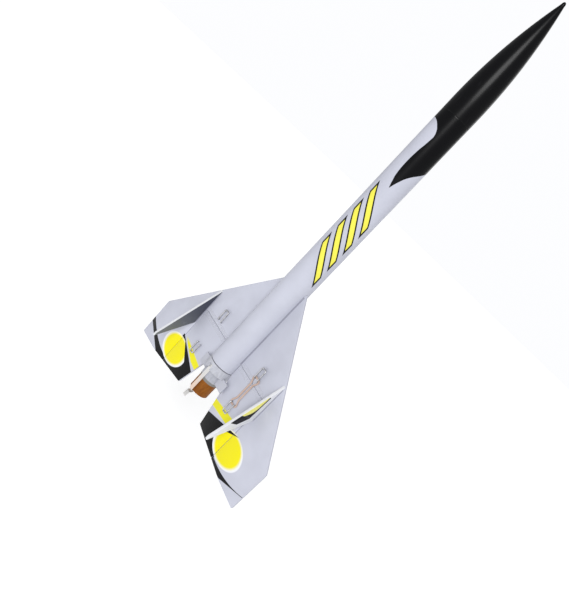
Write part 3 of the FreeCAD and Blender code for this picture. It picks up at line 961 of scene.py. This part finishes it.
bm = turned([
    (BORE_R - 0.01 * MM, 0.5 * MM), (5.0 * MM, 0.7 * MM), (3.2 * MM, 1.3 * MM), (THROAT_R, 2.6 * MM),
    (THROAT_R, 6.0 * MM), (4.0 * MM, nozzle_high.z), (BORE_R - 0.01 * MM, nozzle_high.z),
], steps=64)
soften(bm, 0.12 * MM, angle=25)
nozzle = piece_of(bm, "clay_nozzle", pressed_clay("nozzle_clay", (0.30, 0.28, 0.26, 1), 500))
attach(nozzle, "motor_pod")
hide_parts("motor_nozzle")

powder = pressed_clay("pressed_powder", (0.012, 0.012, 0.013, 1), 900)
for node in ("propellant_grain", "delay_charge", "ejection_charge"):
    refinish(node, powder)
refinish("motor_cap", pressed_clay("cap_clay", (0.36, 0.34, 0.31, 1), 500))

wrap_low, wrap_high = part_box("motor_tape")


def crepe_tape():
    """Masking tape: fine crepe ridges across it and a grubby edge."""
    crepe = Finish("crepe_tape", {"Specular IOR Level": 0.2})
    ridges = crepe.noise(1800, 2, stretch=(1, 1, 6))
    dirt = crepe.noise(250, 4)
    tone = crepe.blend(ridges, (0.17, 0.165, 0.16, 1), (0.26, 0.25, 0.235, 1))
    crepe.set("Base Color", crepe.blend(crepe.ramp(dirt, 0.5, 0.8), tone, (0.10, 0.09, 0.085, 1)))
    crepe.set("Roughness", 0.6 + 0.3 * ridges)
    crepe.bump(ridges, 0.08 * MM, 0.7)
    return crepe.material


layer = 0.1 * MM
bm = turned([
    (wrap_high.x - 3 * layer, wrap_low.z), (wrap_high.x - 2 * layer, wrap_low.z),
    (wrap_high.x - 2 * layer, wrap_low.z + 0.3 * MM), (wrap_high.x - layer, wrap_low.z + 0.3 * MM),
    (wrap_high.x - layer, wrap_low.z + 0.5 * MM), (wrap_high.x, wrap_low.z + 0.5 * MM),
    (wrap_high.x, wrap_high.z), (wrap_high.x - 3 * layer, wrap_high.z),
], steps=72)
wrap = piece_of(bm, "motor_tape_wrap", crepe_tape())
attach(wrap, "motor_pod")
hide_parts("motor_tape")

# ---------------------------------------------------------------- streamer
# A strip of orange crepe, rolled up ahead of the pod. It follows the pod out.
roll_low, roll_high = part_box("streamer_roll")
ROLL_TURNS = 9
STEPS_A_TURN = 28
ROLL_SHORT = 0.1 * MM
ROLL_IN, ROLL_OUT = 1.6 * MM, roll_high.x - 0.15 * MM


def orange_crepe():
    """Crepe paper with tight crinkles across its length."""
    crepe = Finish("streamer_crepe", {"Specular IOR Level": 0.2})
    crinkle = crepe.noise(900, 4, stretch=(1, 1, 5))
    crepe.set("Base Color", crepe.blend(crinkle, (0.80, 0.17, 0.02, 1), (0.92, 0.30, 0.05, 1)))
    crepe.set("Roughness", 0.65 + 0.2 * crinkle)
    crepe.bump(crinkle, 0.15 * MM, 0.8)
    return crepe.material


bm = bmesh.new()
columns = ROLL_TURNS * STEPS_A_TURN
strip_low, strip_high = roll_low.z + ROLL_SHORT, roll_high.z - ROLL_SHORT
edge = [bm.verts.new((ROLL_IN, 0, z)) for z in rolled(strip_low, strip_high, 4)]
joined = [bm.edges.new(pair) for pair in zip(edge, edge[1:])]
bmesh.ops.spin(bm, geom=edge + joined, axis=(0, 0, 1), cent=(0, 0, 0),
               angle=2 * math.pi * ROLL_TURNS, steps=columns, use_merge=False)
for i, v in enumerate(bm.verts):
    column = i // len(edge)
    grow = 1 + (ROLL_OUT / ROLL_IN - 1) * column / columns
    v.co.x, v.co.y = v.co.x * grow, v.co.y * grow
bmesh.ops.recalc_face_normals(bm, faces=bm.faces)
streamer = piece_of(bm, "streamer_strip", orange_crepe(), 60)
thicken = streamer.modifiers.new("paper", "SOLIDIFY")
thicken.thickness = 0.2 * MM
thicken.offset = 0
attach(streamer, "motor_pod")
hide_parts("streamer_roll")

# ---------------------------------------------------------------- floor, light and finish
# A pale floor far enough below for the pod to slide right out, a white surround, and one broad
# soft light from the upper right, with a weaker one behind for the underside.
low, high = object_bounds()
POD_ROOM = 0.125
bm = bmesh.new()
beneath = Matrix.Translation((0, 0, low.z - POD_ROOM))
bmesh.ops.create_grid(bm, x_segments=4, y_segments=4, size=30, matrix=beneath)
ground = Finish("floor_white", {
    "Roughness": 0.9, "Specular IOR Level": 0.1,
    "Emission Color": (1, 1, 1, 1), "Emission Strength": 0.36,
})
ground.set("Base Color", ground.blend(ground.noise(30, 3), (0.93, 0.93, 0.93, 1), (0.95, 0.95, 0.95, 1)))
piece_of(bm, "floor", ground.material)

world = bpy.data.worlds.new("studio")
bpy.context.scene.world = world
world.use_nodes = True
background = world.node_tree.nodes["Background"]
background.inputs["Color"].default_value = (0.98, 0.985, 1, 1)
seen = world.node_tree.nodes.new("ShaderNodeLightPath")
WHITE_SURROUND = 1.0
SOFT_LIGHT = 0.42
mix = world.node_tree.nodes.new("ShaderNodeMapRange")
mix.inputs["To Min"].default_value = SOFT_LIGHT
mix.inputs["To Max"].default_value = WHITE_SURROUND
world.node_tree.links.new(seen.outputs["Is Camera Ray"], mix.inputs["Value"])
world.node_tree.links.new(mix.outputs[0], background.inputs["Strength"])
bpy.context.scene.view_settings.view_transform = "Standard"

for name, energy, spread, towards in (
    ("key", 1.95, 28, (0.56, -0.74, 0.45)),
    ("fill", 0.8, 60, (-0.35, 0.80, 0.35)),
):
    lamp = bpy.data.objects.new(name, bpy.data.lights.new(name, "SUN"))
    lamp.data.energy = energy
    lamp.data.angle = math.radians(spread)
    lamp.rotation_euler = Vector(towards).to_track_quat("Z", "Y").to_euler()
    bpy.context.scene.collection.objects.link(lamp)
